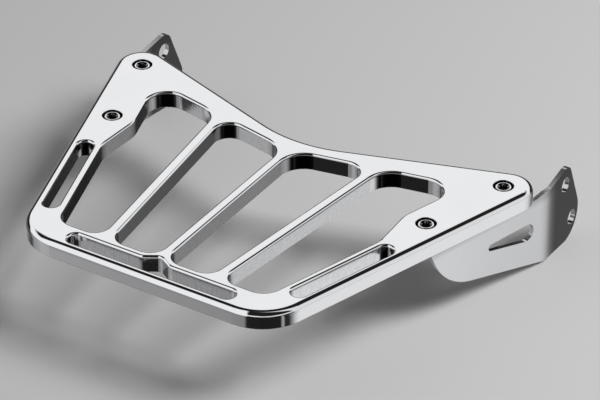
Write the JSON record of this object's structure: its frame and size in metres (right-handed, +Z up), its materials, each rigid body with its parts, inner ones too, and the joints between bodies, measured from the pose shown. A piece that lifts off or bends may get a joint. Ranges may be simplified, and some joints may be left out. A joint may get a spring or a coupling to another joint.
{
  "type": "motorcycle luggage rack",
  "caption": "Chromed motorcycle luggage rack: flat plate with cut-outs and strap slots on two folded side brackets with strut holes.",
  "frame": {"origin": "under the middle of the whole rack, at the height of the brackets' lowest edge", "axes": "+X to the rider's right, +Y forward (the hollow edge and the bracket tabs are in front), +Z up"},
  "size_m": [0.3036, 0.2636, 0.0619],
  "materials": {
    "plate_chrome": "polished",
    "bracket_chrome": "polished",
    "screw_chrome": "polished",
    "nut_zinc": "zinc plated"
  },
  "bodies": {
    "root": {"rack_plate": "plate_chrome", "right_bracket": "bracket_chrome", "left_bracket": "bracket_chrome", "plate_screws": "screw_chrome", "lock_nuts": "nut_zinc"}
  },
  "joints": []
}
